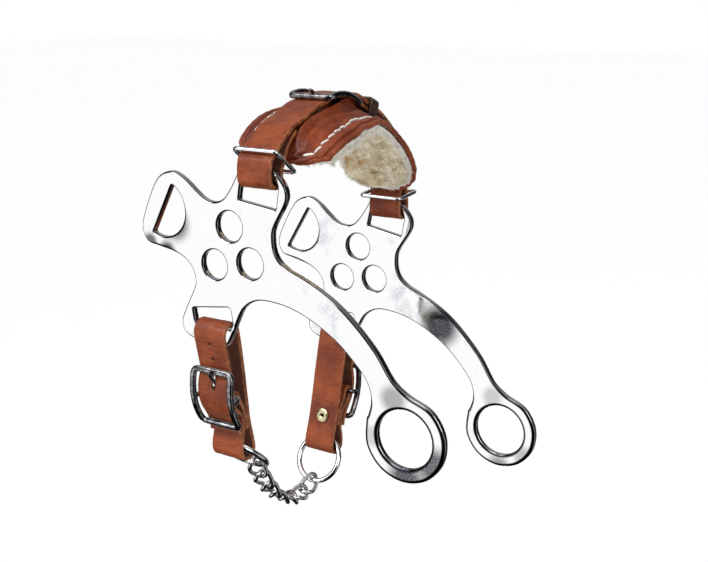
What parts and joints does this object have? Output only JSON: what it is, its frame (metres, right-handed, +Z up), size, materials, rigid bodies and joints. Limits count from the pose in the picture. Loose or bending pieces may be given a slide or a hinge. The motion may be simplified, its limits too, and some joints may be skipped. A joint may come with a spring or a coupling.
{
  "type": "bitless hackamore",
  "caption": "Bitless hackamore: fleece-lined leather noseband, two shanked metal cheeks, and buckled curb straps joined by a twisted-link chain.",
  "frame": {"origin": "underside of the fleece at the middle of the noseband, where it rests on the nose", "axes": "+X fore and aft, towards the shanks' rein rings; +Y from the near cheek to the far cheek; +Z up"},
  "size_m": [0.1732, 0.1337, 0.2377],
  "materials": {
    "cheek_metal": "mirror-polished stainless steel with rounded edges",
    "strap_leather": "smooth tan bridle leather, burnished edges, darker flesh side",
    "pad_leather": "smooth tan leather with a rolled rim and pale stitching",
    "keeper_leather": "dark brown leather loop",
    "fleece": "cream clipped fleece, tufted",
    "buckle_metal": "polished dark nickel",
    "ring_metal": "polished welded wire",
    "chain_metal": "polished twisted wire",
    "rivet_metal": "pale brass tubular rivet"
  },
  "bodies": {
    "noseband": {"noseband_pad": "pad_leather", "noseband_fleece": "fleece", "noseband_strap_near": "strap_leather", "noseband_strap_far": "strap_leather", "noseband_buckle_frame": "buckle_metal"},
    "noseband_tongue": {"noseband_buckle_tongue": "buckle_metal"},
    "billet_keeper": {"noseband_billet_keeper": "keeper_leather"},
    "near_keeper_ring": {"near_strap_ring": "ring_metal"},
    "far_keeper_ring": {"far_strap_ring": "ring_metal"},
    "near_cheek": {"near_cheek_plate": "cheek_metal"},
    "near_curb": {"near_curb_strap": "strap_leather", "near_curb_buckle_frame": "buckle_metal", "near_curb_rivet": "rivet_metal"},
    "near_tongue": {"near_curb_buckle_tongue": "buckle_metal"},
    "near_ring": {"near_curb_ring": "ring_metal"},
    "far_cheek": {"far_cheek_plate": "cheek_metal"},
    "far_curb": {"far_curb_strap": "strap_leather", "far_curb_buckle_frame": "buckle_metal", "far_curb_rivet": "rivet_metal"},
    "far_tongue": {"far_curb_buckle_tongue": "buckle_metal"},
    "far_ring": {"far_curb_ring": "ring_metal"},
    "link_1": {"chain_link_1": "chain_metal"},
    "link_2": {"chain_link_2": "chain_metal"},
    "link_3": {"chain_link_3": "chain_metal"},
    "link_4": {"chain_link_4": "chain_metal"},
    "link_5": {"chain_link_5": "chain_metal"},
    "link_6": {"chain_link_6": "chain_metal"},
    "link_7": {"chain_link_7": "chain_metal"}
  },
  "joints": [
    {"name": "near_cheek_swing", "type": "hinge", "parent": "noseband", "child": "near_cheek", "pos_m": [0, -0.06644, -0.01184], "axis": [1, 0, 0], "range_deg": [-6, 6]},
    {"name": "far_cheek_swing", "type": "hinge", "parent": "noseband", "child": "far_cheek", "pos_m": [0, 0.04991, -0.04542], "axis": [1, 0, 0], "range_deg": [-6.01, 6.01]},
    {"name": "near_curb_swing", "type": "hinge", "parent": "near_cheek", "child": "near_curb", "pos_m": [-0.0286, -0.06644, -0.09464], "axis": [1, 0, 0], "range_deg": [-10.68, 10.68]},
    {"name": "far_curb_swing", "type": "hinge", "parent": "far_cheek", "child": "far_curb", "pos_m": [-0.03306, 0.04991, -0.12654], "axis": [1, 0, 0], "range_deg": [-11, 11]},
    {"name": "near_ring_swing", "type": "hinge", "parent": "near_curb", "child": "near_ring", "pos_m": [-0.0286, -0.05508, -0.15813], "axis": [1, 0, 0], "range_deg": [-1.58, 1.58]},
    {"name": "far_ring_swing", "type": "hinge", "parent": "far_curb", "child": "far_ring", "pos_m": [-0.03306, 0.03219, -0.18856], "axis": [1, 0, 0], "range_deg": [-2.08, 2.08]},
    {"name": "link_1_swing", "type": "hinge", "parent": "near_ring", "child": "link_1", "pos_m": [-0.0286, -0.03884, -0.17349], "axis": [1, 0, 0], "range_deg": [-2.7, 2.7]},
    {"name": "link_2_swing", "type": "hinge", "parent": "link_1", "child": "link_2", "pos_m": [-0.02897, -0.03388, -0.18193], "axis": [1, 0, 0], "range_deg": [-0.09, 0.09]},
    {"name": "link_3_swing", "type": "hinge", "parent": "link_2", "child": "link_3", "pos_m": [-0.02947, -0.02711, -0.19122], "axis": [1, 0, 0], "range_deg": [-0.33, 0.33]},
    {"name": "link_4_swing", "type": "hinge", "parent": "link_3", "child": "link_4", "pos_m": [-0.03006, -0.01916, -0.19951], "axis": [1, 0, 0], "range_deg": [-1.27, 1.27]},
    {"name": "link_7_swing", "type": "hinge", "parent": "far_ring", "child": "link_7", "pos_m": [-0.03306, 0.02136, -0.20811], "axis": [1, 0, 0], "range_deg": [-1, 1]},
    {"name": "link_6_swing", "type": "hinge", "parent": "link_7", "child": "link_6", "pos_m": [-0.03236, 0.01192, -0.21068], "axis": [1, 0, 0], "range_deg": [-2.84, 2.84]},
    {"name": "link_5_swing", "type": "hinge", "parent": "link_6", "child": "link_5", "pos_m": [-0.03152, 0.00047, -0.21002], "axis": [1, 0, 0], "range_deg": [-4.13, 4.13]},
    {"name": "noseband_tongue_lift", "type": "hinge", "parent": "noseband", "child": "noseband_tongue", "pos_m": [0, 0.00163, 0.01285], "axis": [1, 0, 0], "range_deg": [-1.5, 0]},
    {"name": "near_tongue_lift", "type": "hinge", "parent": "near_curb", "child": "near_tongue", "pos_m": [-0.0286, -0.06474, -0.12687], "axis": [1, 0, 0], "range_deg": [0, 4]},
    {"name": "far_tongue_lift", "type": "hinge", "parent": "far_curb", "child": "far_tongue", "pos_m": [-0.03306, 0.04496, -0.15844], "axis": [1, 0, 0], "range_deg": [-4, 0]},
    {"name": "billet_keeper_slide", "type": "slide", "parent": "noseband", "child": "billet_keeper", "axis": [0, 0.9257, -0.3783], "range_m": [-0.002, 0.002]},
    {"name": "near_keeper_ring_slide", "type": "slide", "parent": "noseband", "child": "near_keeper_ring", "axis": [0, 0.6065, 0.7951], "range_m": [-0.0012, 0.0012]},
    {"name": "far_keeper_ring_slide", "type": "slide", "parent": "noseband", "child": "far_keeper_ring", "axis": [0, -0.0895, 0.996], "range_m": [-0.0012, 0.0012]}
  ],
  "couplings": [
    {"joint": "far_cheek_swing", "follows": "near_cheek_swing", "ratio": -1},
    {"joint": "near_curb_swing", "follows": "near_cheek_swing", "ratio": -1.7792},
    {"joint": "near_ring_swing", "follows": "near_cheek_swing", "ratio": 0.2622},
    {"joint": "link_1_swing", "follows": "near_cheek_swing", "ratio": -0.4498},
    {"joint": "link_2_swing", "follows": "near_cheek_swing", "ratio": 0.0145},
    {"joint": "link_3_swing", "follows": "near_cheek_swing", "ratio": 0.0542},
    {"joint": "link_4_swing", "follows": "near_cheek_swing", "ratio": 0.2108},
    {"joint": "far_curb_swing", "follows": "near_cheek_swing", "ratio": 1.8328},
    {"joint": "far_ring_swing", "follows": "near_cheek_swing", "ratio": 0.3462},
    {"joint": "link_7_swing", "follows": "near_cheek_swing", "ratio": -0.1654},
    {"joint": "link_6_swing", "follows": "near_cheek_swing", "ratio": -0.4721},
    {"joint": "link_5_swing", "follows": "near_cheek_swing", "ratio": -0.6883}
  ]
}
